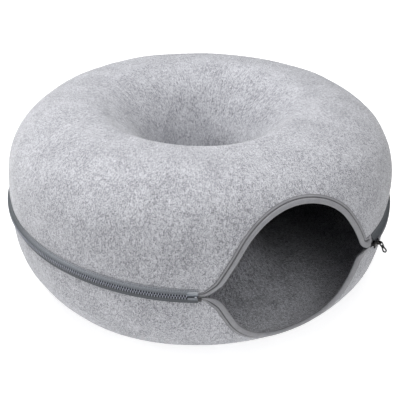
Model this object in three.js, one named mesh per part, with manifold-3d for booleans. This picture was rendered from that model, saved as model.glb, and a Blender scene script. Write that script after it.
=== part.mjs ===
// Donut cat tunnel: two moulded felt half rings, zipped together round the outside, with one bound mouth.
// Millimetres, +Z up. The origin is on the floor, on the ring's axis. Angles turn from -Y towards +X.

import * as THREE from "three";
import { mergeVertices } from "three/addons/utils/BufferGeometryUtils.js";
import Module from "manifold-3d";

const wasm = await Module();
wasm.setup();

const DEGREE = Math.PI / 180;
const FULL_TURN = 2 * Math.PI;
const QUARTER_TURN = Math.PI / 2;

// The ring as a whole
const RIM_RADIUS = 300; // outside of the zip coil, the widest ring
const HEIGHT = 275;
const ZIP_HEIGHT = 134;
const CROWN_RADIUS = 178; // where the top is highest
const HOLE_RADIUS = 70; // narrowest part of the hole, at the seam between the two inner walls
const FELT = 3; // thickness of the felt
const WAIST = 3.5; // how far the felt draws in towards the zip
const LIP = { rise: 6, reach: 11 }; // how its edge turns out again under the zip tape
const ZIP_GAP = 4.4; // between the two felt edges, behind the zip
const SEAM_GAP = 0.4; // between the two inner walls, where they are sewn together
const LEAN = { shift: 2, share: 0.6 }; // of the soft upper ring, towards +X, over this share of its section

// The two half rings: side is +1 above the zip and -1 below it.
// A power above 2 makes a fuller quarter of the section.
const UPPER = {
  side: 1,
  shoulderRadius: 295.5,
  shoulderHeight: 158,
  outerPower: 2.47,
  innerPower: 1.9,
};
const LOWER = {
  side: -1,
  shoulderRadius: 295,
  shoulderHeight: 115,
  outerPower: 2.25,
  innerPower: 2,
  footOuterRadius: 203, // the flat ring that rests on the floor
  footInnerRadius: 142,
};

// The mouth: in each half ring an arch that runs out along the zip in a fillet at both ends
const MOUTH_ANGLE = 26.8 * DEGREE; // its middle
const MOUTH_HALF = 135.5; // from its middle to its ends, measured along the felt
const MOUTH_RUN = { left: 2, right: 6 }; // from there the two bindings run side by side to the zip
const MOUTH_RADIUS = 295; // radius at which lengths along the felt become angles
UPPER.mouth = { rise: 107.8, arch: 95, fillets: { left: 33, right: 21 } };
LOWER.mouth = { rise: 100.5, arch: 103.5, fillets: { left: 34, right: 28 } };

// The two ends of the zip, right and left of the mouth, sag: how far each drops and stands out,
// and the angles and the heights above and below the zip line over which that grows and fades
const SAGS = [
  {
    drop: 3,
    out: 2.4,
    grows: [36 * DEGREE, 52 * DEGREE],
    fades: [58 * DEGREE, 80 * DEGREE],
    above: [1, 11],
    dropBelow: [5, 60],
    outBelow: [4, 14],
  },
  {
    drop: 2.8,
    out: 0,
    grows: [-40 * DEGREE, -3 * DEGREE],
    fades: [1 * DEGREE, 12 * DEGREE],
    above: [6, 80],
    dropBelow: [5, 60],
    outBelow: [5, 60],
  },
];
const SAG_RADII = [220, 270]; // radii over which they grow, so that the hole keeps its shape

// Binding tape folded over the felt edge round the mouth
const BINDING = {
  thickness: 0.7,
  clearance: 0.9,
  tuck: 0.05, // how much closer to the felt the stitches draw the middle of its legs
  outerLeg: 10,
  innerLeg: 7,
  bead: 0.2, // how far the filled edge swells past the flat tape
  beadWidth: 5.6,
  tip: 2, // from the felt's edge to the outermost of the fold
  roundPower: 3, // how full the round over the edge is
  roundSteps: 4,
};

// Zip: two tapes that stand off the felt as a low ridge, with the closed coil along its top
const TAPE = {
  thickness: 0.9,
  clearance: 0.8,
  sewnEdge: 10.5, // heights above and below the zip line
  foldEdge: 7.3,
  coilEdge: 3,
  middleEdge: 0.3,
  coilRadius: 298.1, // outer face at coilEdge
  middleRadius: 297.4, // outer face at middleEdge, behind the coil
};
const COIL = { radius: 298.9, halfHeight: 2.4, halfDepth: 1.1, sides: 8 };
const END_BOX = {
  length: 13,
  halfHeight: 4.3,
  backRadius: 298.6,
  topHalfHeight: 3.1,
  topRadius: 300.2,
};
const PIECE_GAP = 0.5;

// Slider: a plate and a keel joined by a wedge, with a bridge that carries the pull
const SLIDER = {
  length: 15.4,
  frontWidth: 9.6,
  rearWidth: 7.6,
  topPlate: { from: 0.6, to: 2.4 }, // outwards from the rim radius
  keel: { from: -5.6, to: -4.5, width: 3.4 }, // lower plate, between the felt edges
  wedge: { from: -7.1, to: -3.9, width: 2.8 }, // along the zip from the slider's middle
  flange: { from: -2.8, to: 7.2, depth: 1.5, thickness: 1 },
  fromMouth: 8.5, // from the end of the mouth to the slider's middle
  corner: 1.6, // round of the top plate's corners
  lap: 0.3, // how far the blocks run into the plates they are joined to
};
const TAPE_START = 5.5; // from the end of the mouth to where the tapes come together behind the wedge
const BRIDGE = { middle: 3.8, halfLength: 3.6, opening: 3.2, bar: 1.5, width: 2.4, sink: 0.7 };
const PULL = {
  thickness: 1.4,
  droop: 55 * DEGREE, // below level
  rootRadius: 2.9,
  slotRadius: 1.8,
  slotLength: 3.2,
  neckAt: 6.3,
  neckHalfWidth: 2.1,
  ringAt: 12,
  ringRadius: 3.2,
  ringHoleRadius: 1.6,
  ringHoleFrom: 8.2,
  neckEase: [1, 1.4], // how soft its outline bends before and after the neck
  ringEase: 3, // and into the ring
};

// How finely the solids are divided
const MOUTH_STEPS = { arch: 10, straight: 5, fillet: 5 }; // on each side of the mouth's middle
const RING_STEPS = 48;
const EDGE_ROWS = [0, 4, 9, 20, 34]; // distances from the felt's edge
const OUTER_ROWS = 13; // from there to the inner seam
const INNER_ROWS = 9;
const PLATE_SEGMENTS = 3; // for each curve of the slider's plate, its bridge and the pull
const BRIDGE_SEGMENTS = 4;
const PULL_SEGMENTS = 6;
const PROFILE_DIVISIONS = 800; // for measuring lengths along a section
const WELD = 1e-4; // points closer than this are one point

const MOUTH_END = MOUTH_ANGLE + (MOUTH_HALF + MOUTH_RUN.right) / MOUTH_RADIUS;
const MOUTH_START = MOUTH_ANGLE - (MOUTH_HALF + MOUTH_RUN.left) / MOUTH_RADIUS;
const SEAM_HEIGHT = ZIP_HEIGHT;

const FELT_GREY = 0xb9babd;
const BINDING_GREY = 0x8f9094;
const TAPE_GREY = 0x6a727b;
const COIL_GREY = 0x565d66;
const BOX_GREY = 0x9aa5b1;
const METAL_BLACK = 0x17181a;

const feltMaterial = finish(FELT_GREY, 0.95);
const bindingMaterial = finish(BINDING_GREY, 0.75);
const tapeMaterial = finish(TAPE_GREY, 0.6);
const coilMaterial = finish(COIL_GREY, 0.4);
const boxMaterial = finish(BOX_GREY, 0.25);
const metalMaterial = finish(METAL_BLACK, 0.35, 0.8);

function finish(color, roughness, metalness = 0) {
  return new THREE.MeshStandardMaterial({ color, roughness, metalness });
}

// How far a point of the ring drops and stands out where the end of the zip sags
function sag(angle, radius, height) {
  const { smoothstep, euclideanModulo } = THREE.MathUtils;
  const rise = height - ZIP_HEIGHT;
  const turn = euclideanModulo(angle + FULL_TURN / 2, FULL_TURN) - FULL_TURN / 2;
  const inRing = smoothstep(radius, ...SAG_RADII);
  let drop = 0;
  let out = 0;
  for (const end of SAGS) {
    const round = smoothstep(turn, ...end.grows) * (1 - smoothstep(turn, ...end.fades));
    const share = round * inRing * (1 - smoothstep(rise, ...end.above));
    drop += end.drop * share * (1 - smoothstep(-rise, ...end.dropBelow));
    out += end.out * share * (1 - smoothstep(-rise, ...end.outBelow));
  }
  return { drop, out };
}

// A point of the ring at an angle, a radius and a height
function around(angle, radius, height) {
  const { drop, out } = sag(angle, radius, height);
  const reach = radius + out;
  return new THREE.Vector3(reach * Math.sin(angle), -reach * Math.cos(angle), height - drop);
}

// A point of a superellipse quarter: turn 0 lies level with the centre, and a quarter turn above or below it
function quarter(centreRadius, centreHeight, reachOut, reachUp, power, turn) {
  const level = Math.max(0, Math.cos(turn)) ** (2 / power);
  const upright = Math.max(0, Math.sin(turn)) ** (2 / power);
  return new THREE.Vector2(centreRadius + reachOut * level, centreHeight + reachUp * upright);
}

// The outer face of a half ring in section, as radius and height, from the zip line round to the inner seam
class FeltProfile extends THREE.Curve {
  constructor(half) {
    super();
    this.half = half;
    this.arcLengthDivisions = PROFILE_DIVISIONS;
  }

  // From the zip line to the shoulder, drawn in towards the zip
  waist(share) {
    const { shoulderRadius, shoulderHeight } = this.half;
    const radius = shoulderRadius - WAIST * (1 - share) ** 2;
    return new THREE.Vector2(radius, THREE.MathUtils.lerp(ZIP_HEIGHT, shoulderHeight, share));
  }

  // From the shoulder over to the crown, or down to the floor
  outerWall(share) {
    const { side, shoulderRadius, shoulderHeight, outerPower, footOuterRadius } = this.half;
    const centre = side > 0 ? CROWN_RADIUS : footOuterRadius;
    const reachUp = side > 0 ? HEIGHT - shoulderHeight : -shoulderHeight;
    const reachOut = shoulderRadius - centre;
    return quarter(centre, shoulderHeight, reachOut, reachUp, outerPower, share * QUARTER_TURN);
  }

  // The flat ring on the floor
  foot(share) {
    const { footOuterRadius, footInnerRadius } = this.half;
    return new THREE.Vector2(THREE.MathUtils.lerp(footOuterRadius, footInnerRadius, share), 0);
  }

  // From the crown down into the hole, or from the floor up to the same seam
  innerWall(share) {
    const { side, innerPower, footInnerRadius } = this.half;
    const centre = side > 0 ? CROWN_RADIUS : footInnerRadius;
    const reachUp = side > 0 ? HEIGHT - SEAM_HEIGHT : -SEAM_HEIGHT;
    const turn = (1 - share) * QUARTER_TURN;
    return quarter(centre, SEAM_HEIGHT, HOLE_RADIUS - centre, reachUp, innerPower, turn);
  }

  getPoint(t, target = new THREE.Vector2()) {
    const stretches = [this.waist, this.outerWall, this.innerWall];
    if (this.half.footOuterRadius) stretches.splice(2, 0, this.foot);
    const place = t * stretches.length;
    const stretch = Math.min(Math.floor(place), stretches.length - 1);
    return target.copy(stretches[stretch].call(this, place - stretch));
  }
}

for (const half of [UPPER, LOWER]) {
  half.profile = new FeltProfile(half);
  half.length = half.profile.getLength();
}

// How far the edge turns out under the zip tape, at a length along the section from the zip line
function turnedOut(along) {
  return LIP.rise * Math.max(0, 1 - along / LIP.reach) ** 2;
}

// How far the shoulder of the upper ring leans, at a length along the section from the zip line
function lean(half, along) {
  if (half.side < 0) return 0;
  const share = THREE.MathUtils.clamp(along / (LEAN.share * half.length), 0, 1);
  return LEAN.shift * Math.sin(Math.PI * share);
}

// A point of the felt at an angle, a length along the section from the zip line and a depth below its face.
// Past either end of the section it runs straight on.
function feltPoint(half, angle, along, depth) {
  const share = THREE.MathUtils.clamp(along / half.length, 0, 1);
  const point = half.profile.getPointAt(share);
  const tangent = half.profile.getTangentAt(share);
  const normal = new THREE.Vector2(tangent.y, -tangent.x).multiplyScalar(half.side);
  point.addScaledVector(tangent, along - share * half.length).addScaledVector(normal, -depth);
  const place = around(angle, point.x + turnedOut(along), point.y);
  place.x += lean(half, along);
  return place;
}

// Radius of the felt's outer face at a height above or below the zip line
function waistRadius(half, offset) {
  const share = offset / Math.abs(half.shoulderHeight - ZIP_HEIGHT);
  return half.profile.waist(share).x + turnedOut(offset);
}

// Parts of the mouth's edge: an arch and a fillet, both round, with the straight line that touches them both.
// The fillet at one end, the slant of that line, and the lengths from the mouth's middle at which it starts and ends.
function mouthParts({ mouth }, end) {
  const { rise, arch } = mouth;
  const fillet = mouth.fillets[end];
  const drop = arch + fillet - rise;
  const tilt = Math.atan2(drop, MOUTH_HALF);
  const slant = Math.asin((arch + fillet) / Math.hypot(MOUTH_HALF, drop)) - tilt;
  const archEnd = arch * Math.sin(slant);
  const filletStart = MOUTH_HALF - fillet * Math.sin(slant);
  return { fillet, slant, archEnd, filletStart };
}

// The mouth's edge at a length x from its middle: its height along the section and its slope there
function mouthEdge(half, x) {
  const { rise, arch } = half.mouth;
  const { fillet, slant, archEnd, filletStart } = mouthParts(half, x < 0 ? "left" : "right");
  const distance = Math.min(Math.abs(x), MOUTH_HALF);
  let height, slope;
  if (distance < archEnd) {
    height = rise - arch + Math.sqrt(arch ** 2 - distance ** 2);
    slope = -distance / Math.sqrt(arch ** 2 - distance ** 2);
  } else if (distance < filletStart) {
    height = rise - arch * (1 - Math.cos(slant)) - (distance - archEnd) * Math.tan(slant);
    slope = -Math.tan(slant);
  } else {
    const left = MOUTH_HALF - distance;
    height = fillet - Math.sqrt(fillet ** 2 - left ** 2);
    slope = -left / Math.sqrt(fillet ** 2 - left ** 2);
  }
  return { along: ZIP_GAP / 2 + height, slope: slope * Math.sign(x) };
}

// Values in even steps from one to another
function evenly(from, to, steps) {
  return Array.from({ length: steps + 1 }, (_, i) => THREE.MathUtils.lerp(from, to, i / steps));
}

// Lengths from the mouth's middle to the steps across it: even turns on the arch and the fillets
function mouthSteps(half) {
  const { arch } = half.mouth;
  const [left, right] = ["left", "right"].map((end) => {
    const { fillet, slant, archEnd, filletStart } = mouthParts(half, end);
    const onArch = evenly(0, slant, MOUTH_STEPS.arch).map((turn) => arch * Math.sin(turn));
    const straight = evenly(archEnd, filletStart, MOUTH_STEPS.straight).slice(1, -1);
    const onFillet = evenly(slant, 0, MOUTH_STEPS.fillet).map((turn) => MOUTH_HALF - fillet * Math.sin(turn));
    return [...onArch, ...straight, ...onFillet, MOUTH_HALF + MOUTH_RUN[end]];
  });
  const mirrored = left.slice(1).map((x) => -x);
  return [...mirrored.reverse(), ...right];
}

// The even steps round the ring that lie between two angles, with those angles as its ends
function ringAngles(from, to) {
  const steps = evenly(MOUTH_END, MOUTH_START + FULL_TURN, RING_STEPS);
  return [from, ...steps.filter((angle) => angle > from && angle < to), to];
}

// A closed solid through rings of equally many points, split on the shorter diagonals.
// It joins up with its own start, or its two ends are closed, each in a plane through the axis.
function sweep(rings, closedEnds) {
  const size = rings[0].length;
  const points = rings.flat();
  const index = [];
  const last = closedEnds ? rings.length - 1 : rings.length;
  for (let i = 0; i < last; i++) {
    const here = i * size;
    const next = ((i + 1) % rings.length) * size;
    for (let j = 0; j < size; j++) {
      const k = (j + 1) % size;
      const [a, b, c, d] = [here + j, next + j, next + k, here + k];
      const shorter = points[a].distanceTo(points[c]) < points[b].distanceTo(points[d]);
      const faces = shorter ? [a, b, c, a, c, d] : [a, b, d, b, c, d];
      index.push(...faces);
    }
  }
  if (closedEnds) {
    index.push(...endFaces(rings[0]));
    const end = (rings.length - 1) * size;
    index.push(...endFaces(rings.at(-1)).reverse().map((i) => end + i));
  }
  const geometry = new THREE.BufferGeometry().setFromPoints(points);
  geometry.setIndex(index);
  return facingOut(geometry);
}

// Triangles that fill a ring of points in a plane through the axis, turning the same way as the ring
function endFaces(ring) {
  const flat = ring.map((point) => new THREE.Vector2(Math.hypot(point.x, point.y), point.z));
  const clockwise = THREE.ShapeUtils.isClockWise(flat);
  return THREE.ShapeUtils.triangulateShape(flat, []).flatMap((face) => {
    const same = THREE.ShapeUtils.isClockWise(face.map((i) => flat[i])) === clockwise;
    return same ? face : face.reverse();
  });
}

// The same solid with its faces turned outwards
function facingOut(geometry) {
  const corner = [0, 1, 2].map(() => new THREE.Vector3());
  const { array } = geometry.index;
  let volume = 0;
  for (let i = 0; i < array.length; i += 3) {
    corner.forEach((point, j) => point.fromBufferAttribute(geometry.attributes.position, array[i + j]));
    volume += corner[0].dot(corner[1].clone().cross(corner[2]));
  }
  if (volume < 0) array.reverse();
  return geometry;
}

// Closed geometries joined into one solid
function join(geometries) {
  const solids = geometries.map((geometry) => {
    const bare = geometry.clone();
    bare.deleteAttribute("normal");
    bare.deleteAttribute("uv");
    const merged = mergeVertices(bare, WELD);
    return new wasm.Manifold(
      new wasm.Mesh({
        numProp: 3,
        vertProperties: merged.attributes.position.array,
        triVerts: new Uint32Array(merged.index.array),
      }),
    );
  });
  const { vertProperties, triVerts } = solids.reduce((whole, solid) => whole.add(solid)).getMesh();
  const joined = new THREE.BufferGeometry();
  joined.setAttribute("position", new THREE.BufferAttribute(vertProperties, 3));
  joined.setIndex(new THREE.BufferAttribute(triVerts, 1));
  return joined;
}

function named(name, geometry, material) {
  const mesh = new THREE.Mesh(geometry, material);
  mesh.name = name;
  return mesh;
}

// Half ring of felt: at each angle the sheet's section, out along its outer face and back along the inner
function feltHalf(half) {
  const end = half.length - SEAM_GAP / 2;
  const section = (angle, x) => {
    const edge = mouthEdge(half, x).along;
    const bodyStart = edge + EDGE_ROWS.at(-1);
    const edgeRows = EDGE_ROWS.slice(0, -1).map((distance) => edge + distance);
    const outer = [...edgeRows, ...evenly(bodyStart, end, OUTER_ROWS)];
    const inner = [...evenly(end, bodyStart, INNER_ROWS), ...edgeRows.toReversed()];
    return [
      ...outer.map((along) => feltPoint(half, angle, along, 0)),
      ...inner.map((along) => feltPoint(half, angle, along, FELT)),
    ];
  };
  const across = mouthSteps(half).map((x) => section(MOUTH_ANGLE + x / MOUTH_RADIUS, x));
  const rest = ringAngles(MOUTH_END, MOUTH_START + FULL_TURN).slice(1, -1);
  return sweep([...across, ...rest.map((angle) => section(angle, MOUTH_HALF))], false);
}

// Section of the folded binding: x is the distance in from the felt's edge and y the depth below its face
function bindingSection() {
  const { thickness, clearance, tuck, outerLeg, innerLeg } = BINDING;
  const { bead, beadWidth, tip, roundPower, roundSteps } = BINDING;
  const cover = clearance + thickness;
  const swell = FELT / 2 + cover + bead;
  const centre = swell - cover;
  const legMiddle = innerLeg / 2;
  const stitched = clearance - tuck;
  const section = [
    [outerLeg, -clearance],
    [outerLeg, -cover],
    [beadWidth, -cover],
  ];
  for (let i = -roundSteps; i <= roundSteps; i++) {
    const turn = (Math.abs(i) / roundSteps) * QUARTER_TURN;
    const { x, y } = quarter(centre, FELT / 2, -centre - tip, Math.sign(i) * swell, roundPower, turn);
    section.push([x, y]);
  }
  section.push(
    [beadWidth, FELT + cover],
    [innerLeg, FELT + cover],
    [innerLeg, FELT + clearance],
    [legMiddle, FELT + stitched],
    [-clearance, FELT + clearance],
    [-clearance, -clearance],
    [legMiddle, -stitched],
  );
  return section.map(([x, y]) => new THREE.Vector2(x, y));
}

// The binding follows the mouth's edge from one end to the other, square to the edge and flat on both faces
function binding(half) {
  const section = bindingSection();
  const rings = mouthSteps(half).map((x) => {
    const { along, slope } = mouthEdge(half, x);
    const inwards = new THREE.Vector2(-slope, 1).normalize();
    return section.map((p) => {
      const angle = MOUTH_ANGLE + (x + p.x * inwards.x) / MOUTH_RADIUS;
      return feltPoint(half, angle, along + p.x * inwards.y, p.y);
    });
  });
  return sweep(rings, true);
}

// A section, given as radius and height from the zip line, carried round the ring between two angles
function ringSweep(section, from, to) {
  const rings = ringAngles(from, to).map((angle) => {
    return section.map((p) => around(angle, p.x, ZIP_HEIGHT + p.y));
  });
  return sweep(rings, true);
}

// Zip tape: sewn flat to the felt, then folded outwards to the coil
function zipTape(half, from, to) {
  const { thickness, clearance, sewnEdge, foldEdge, coilEdge, middleEdge } = TAPE;
  const { coilRadius, middleRadius } = TAPE;
  const cover = clearance + thickness;
  const outer = [
    [waistRadius(half, sewnEdge) + cover, sewnEdge],
    [waistRadius(half, foldEdge) + cover, foldEdge],
    [coilRadius, coilEdge],
    [middleRadius, middleEdge],
  ];
  const inner = outer.map(([radius, offset]) => [radius - thickness, offset]).reverse();
  const section = [...outer, ...inner].map(([radius, offset]) => {
    return new THREE.Vector2(radius, half.side * offset);
  });
  return ringSweep(section, from, to);
}

// Closed coil of the zip as a plain rounded bead
function zipCoil(from, to) {
  const section = Array.from({ length: COIL.sides }, (_, i) => {
    const turn = (i / COIL.sides) * FULL_TURN;
    const out = COIL.halfDepth * Math.cos(turn);
    return new THREE.Vector2(COIL.radius + out, COIL.halfHeight * Math.sin(turn));
  });
  return ringSweep(section, from, to);
}

// Moulded box over the last of the coil, where the two tapes start to part at the mouth
function zipEndBox(from, to) {
  const { halfHeight, backRadius, topHalfHeight, topRadius } = END_BOX;
  const section = [
    [backRadius, -halfHeight],
    [topRadius, -topHalfHeight],
    [topRadius, topHalfHeight],
    [backRadius, halfHeight],
  ].map(([radius, offset]) => new THREE.Vector2(radius, offset));
  return ringSweep(section, from, to);
}

// A flat outline carried straight up
function extruded(outline, depth, curveSegments) {
  return new THREE.ExtrudeGeometry(outline, { depth, bevelEnabled: false, curveSegments });
}

// A block between two corners
function block(low, high) {
  const size = high.map((value, i) => value - low[i]);
  const geometry = new THREE.BoxGeometry(...size);
  return geometry.translate(...low.map((value, i) => value + size[i] / 2));
}

// Slider's shield outline, wide at the front where the tapes come in: x along the zip, y across it
function sliderPlate({ from, to }) {
  const front = -SLIDER.length / 2;
  const rear = SLIDER.length / 2;
  const wide = SLIDER.frontWidth / 2;
  const narrow = SLIDER.rearWidth / 2;
  const { corner } = SLIDER;
  const outline = new THREE.Shape();
  outline.moveTo(front, -wide + corner);
  outline.quadraticCurveTo(front, -wide, front + corner, -wide);
  outline.quadraticCurveTo(front + SLIDER.length / 2, -wide, rear - corner, -narrow);
  outline.quadraticCurveTo(rear, -narrow, rear, -narrow + corner);
  outline.lineTo(rear, narrow - corner);
  outline.quadraticCurveTo(rear, narrow, rear - corner, narrow);
  outline.quadraticCurveTo(front + SLIDER.length / 2, wide, front + corner, wide);
  outline.quadraticCurveTo(front, wide, front, wide - corner);
  outline.closePath();
  const plate = extruded(outline, to - from, PLATE_SEGMENTS);
  return plate.translate(0, 0, from);
}

// Bridge over the slider: x along the zip and z outwards, with the opening that holds the pull
function sliderBridge() {
  const { middle, halfLength, opening, bar, width, sink } = BRIDGE;
  const foot = SLIDER.topPlate.to - sink;
  const bend = SLIDER.topPlate.to + opening;
  const top = bend + bar;
  const outline = new THREE.Shape();
  outline.moveTo(-halfLength, foot);
  outline.lineTo(-halfLength + bar, foot);
  outline.lineTo(-halfLength + bar, bend - bar);
  outline.quadraticCurveTo(-halfLength + bar, bend, -halfLength + 2 * bar, bend);
  outline.lineTo(halfLength - 2 * bar, bend);
  outline.quadraticCurveTo(halfLength - bar, bend, halfLength - bar, bend - bar);
  outline.lineTo(halfLength - bar, foot);
  outline.lineTo(halfLength, foot);
  outline.lineTo(halfLength, bend - bar);
  outline.quadraticCurveTo(halfLength, top, halfLength - 2 * bar, top);
  outline.lineTo(-halfLength + 2 * bar, top);
  outline.quadraticCurveTo(-halfLength, top, -halfLength, bend - bar);
  outline.closePath();
  const bridge = extruded(outline, width, BRIDGE_SEGMENTS);
  return bridge.rotateX(QUARTER_TURN).translate(middle, width / 2, 0);
}

function zipSlider() {
  const { length, topPlate, keel, wedge, flange, rearWidth, lap } = SLIDER;
  const lapped = topPlate.to - lap;
  const flangeOut = rearWidth / 2;
  const flangeIn = flangeOut - flange.thickness;
  const flangeLow = topPlate.from - flange.depth;
  return join([
    sliderPlate(topPlate),
    block([-length / 2, -keel.width / 2, keel.from], [length / 2, keel.width / 2, keel.to]),
    block([wedge.from, -wedge.width / 2, keel.from + lap], [wedge.to, wedge.width / 2, lapped]),
    block([flange.from, flangeIn, flangeLow], [flange.to, flangeOut, lapped]),
    block([flange.from, -flangeOut, flangeLow], [flange.to, -flangeIn, lapped]),
    sliderBridge(),
  ]);
}

// Pull: a flat link with a slot at its root, round the bridge, a narrow neck and an open ring at its end
function zipPull() {
  const { rootRadius, slotRadius, slotLength, neckAt, neckHalfWidth, ringAt, ringRadius } = PULL;
  const { ringHoleRadius, ringHoleFrom, thickness, neckEase, ringEase } = PULL;
  const [before, after] = [neckAt - neckEase[0], neckAt + neckEase[1]];
  const ringStart = ringAt - ringEase;
  const outline = new THREE.Shape();
  outline.moveTo(0, rootRadius);
  outline.bezierCurveTo(slotLength, rootRadius, before, neckHalfWidth, neckAt, neckHalfWidth);
  outline.bezierCurveTo(after, neckHalfWidth, ringStart, ringRadius, ringAt, ringRadius);
  outline.absarc(ringAt, 0, ringRadius, QUARTER_TURN, -QUARTER_TURN, true);
  outline.bezierCurveTo(ringStart, -ringRadius, after, -neckHalfWidth, neckAt, -neckHalfWidth);
  outline.bezierCurveTo(before, -neckHalfWidth, slotLength, -rootRadius, 0, -rootRadius);
  outline.absarc(0, 0, rootRadius, -QUARTER_TURN, -3 * QUARTER_TURN, true);
  const slot = new THREE.Path();
  slot.absarc(0, 0, slotRadius, QUARTER_TURN, 3 * QUARTER_TURN, false);
  slot.quadraticCurveTo(slotLength, -slotRadius, slotLength, 0);
  slot.quadraticCurveTo(slotLength, slotRadius, 0, slotRadius);
  const ring = new THREE.Path();
  ring.absarc(ringAt, 0, ringHoleRadius, -QUARTER_TURN, QUARTER_TURN, false);
  ring.quadraticCurveTo(ringHoleFrom, ringHoleRadius, ringHoleFrom, 0);
  ring.quadraticCurveTo(ringHoleFrom, -ringHoleRadius, ringAt, -ringHoleRadius);
  outline.holes.push(slot, ring);
  const plate = extruded(outline, thickness, PULL_SEGMENTS);
  return plate.translate(0, 0, -thickness / 2);
}

// Slider and pull at an angle of the ring: x runs along the zip away from the mouth, y up and z outwards
function sliderAt(angle) {
  const pull = named("zip_pull", zipPull(), metalMaterial);
  pull.rotation.y = -QUARTER_TURN;
  const hanging = new THREE.Group();
  hanging.position.x = BRIDGE.middle;
  hanging.position.z = SLIDER.topPlate.to + BRIDGE.opening + BRIDGE.bar / 2;
  hanging.rotation.x = PULL.droop;
  hanging.add(pull);
  const { drop, out } = sag(angle, RIM_RADIUS, ZIP_HEIGHT);
  const upright = new THREE.Group();
  upright.position.set(0, -RIM_RADIUS - out, ZIP_HEIGHT - drop);
  upright.rotation.x = QUARTER_TURN;
  upright.add(named("zip_slider", zipSlider(), metalMaterial), hanging);
  const turned = new THREE.Group();
  turned.rotation.z = angle;
  turned.add(upright);
  return turned;
}

// The angle at which a length along the rim lies past another angle
function past(angle, length) {
  return angle + length / RIM_RADIUS;
}

const zipStart = past(MOUTH_END, TAPE_START);
const zipEnd = past(MOUTH_START + FULL_TURN, -PIECE_GAP);
const coilEnd = past(zipEnd, -END_BOX.length - PIECE_GAP);

const tunnel = new THREE.Group();
tunnel.add(
  named("felt_upper", feltHalf(UPPER), feltMaterial),
  named("felt_lower", feltHalf(LOWER), feltMaterial),
  named("binding_upper", binding(UPPER), bindingMaterial),
  named("binding_lower", binding(LOWER), bindingMaterial),
  named("zip_tape_upper", zipTape(UPPER, zipStart, zipEnd), tapeMaterial),
  named("zip_tape_lower", zipTape(LOWER, zipStart, zipEnd), tapeMaterial),
  named("zip_coil", zipCoil(zipStart, coilEnd), coilMaterial),
  named("zip_end_box", zipEndBox(past(coilEnd, PIECE_GAP), zipEnd), boxMaterial),
  sliderAt(past(MOUTH_END, SLIDER.fromMouth)),
);

export default tunnel;
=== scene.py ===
"""Donut cat tunnel: two moulded felt half rings, zipped together round the outside, with one bound mouth.

Metres, +Z up. The origin is on the floor, on the ring's axis. Angles turn from -Y towards +X.
"""

import math

import bpy
import numpy as np
from mathutils import Matrix, Vector


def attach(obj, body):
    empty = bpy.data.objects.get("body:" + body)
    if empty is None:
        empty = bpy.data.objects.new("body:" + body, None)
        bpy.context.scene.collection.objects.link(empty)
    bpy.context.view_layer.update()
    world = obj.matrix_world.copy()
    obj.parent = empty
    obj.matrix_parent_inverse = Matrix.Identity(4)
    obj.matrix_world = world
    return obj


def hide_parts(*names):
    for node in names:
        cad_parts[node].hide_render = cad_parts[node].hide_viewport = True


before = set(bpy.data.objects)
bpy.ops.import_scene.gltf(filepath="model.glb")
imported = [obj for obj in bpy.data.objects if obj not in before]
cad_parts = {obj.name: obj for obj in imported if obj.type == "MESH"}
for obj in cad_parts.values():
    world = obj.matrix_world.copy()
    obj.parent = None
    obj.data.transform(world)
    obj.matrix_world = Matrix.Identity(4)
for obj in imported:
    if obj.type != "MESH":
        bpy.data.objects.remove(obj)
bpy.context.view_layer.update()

TAU = 2 * math.pi
QUARTER_TURN = math.pi / 2

# The ring as a whole
RIM_RADIUS = 0.300
HEIGHT = 0.275
ZIP_HEIGHT = 0.134
CROWN_RADIUS = 0.178
HOLE_RADIUS = 0.070
FELT = 0.003
WAIST = 0.0035
LIP = {"rise": 0.006, "reach": 0.011}
ZIP_GAP = 0.0044
SEAM_GAP = 0.0004
LEAN = {"shift": 0.002, "share": 0.6}

# The mouth
MOUTH_ANGLE = math.radians(26.8)
MOUTH_HALF = 0.1355
MOUTH_RUN = {"left": 0.002, "right": 0.006}
MOUTH_RADIUS = 0.295
MOUTH_SAMPLES = 4001
MOUTH_START = MOUTH_ANGLE - (MOUTH_HALF + MOUTH_RUN["left"]) / MOUTH_RADIUS
MOUTH_END = MOUTH_ANGLE + (MOUTH_HALF + MOUTH_RUN["right"]) / MOUTH_RADIUS

# The two ends of the zip, right and left of the mouth, sag: how far each drops and stands out, and
# the angles and the heights above and below the zip line over which that grows and fades
SAGS = (
    {
        "drop": 0.003,
        "out": 0.0024,
        "grows": (math.radians(36), math.radians(52)),
        "fades": (math.radians(58), math.radians(80)),
        "above": (0.001, 0.011),
        "drop_below": (0.005, 0.060),
        "out_below": (0.004, 0.014),
    },
    {
        "drop": 0.0028,
        "out": 0,
        "grows": (math.radians(-40), math.radians(-3)),
        "fades": (math.radians(1), math.radians(12)),
        "above": (0.006, 0.080),
        "drop_below": (0.005, 0.060),
        "out_below": (0.005, 0.060),
    },
)
SAG_RADII = (0.22, 0.27)  # radii over which they grow, so that the hole keeps its shape

# Felt: how finely it is divided, and how uneven the pressed sheet is
FELT_GRID = {"mouth": 130, "rest": 340, "outer": 148, "inner": 44, "crowding": 0.25}
FELT_DENTS = {"height": 0.0007, "waves": (0.07, 0.16), "count": 40, "seed": 3}
FELT_LUMPS = {"height": 0.00009, "waves": (0.008, 0.016), "count": 60, "seed": 8}
# The fold where the crown turns into the hole: how far it stands out, its radius and its half width,
# and the angles from the front over which it fades
RIM_FOLD = {
    "height": 0.0034,
    "radius": 0.151,
    "width": 0.0105,
    "fades": (math.radians(65), math.radians(125)),
}
EDGE_FADE = (0.012, 0.045)
FLOOR_FADE = (0.001, 0.03)
SEAM_ROUND = {"reach": 0.003, "draw": 0.0012}
LAY_RADIUS = 0.25  # radius at which the felt's pattern keeps its true width
INSIDE_LAY = 3.0  # shift of the pattern on the inner face
# Inside, painted light and shade: the felt is painted brighter near a place just within the mouth
# and darker with the distance from it
PAINTED_INSIDE_LIGHT = {"radius": 0.25, "height": 0.03, "reach": (0.16, 0.40), "shares": (1.38, 0.42)}

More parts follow.
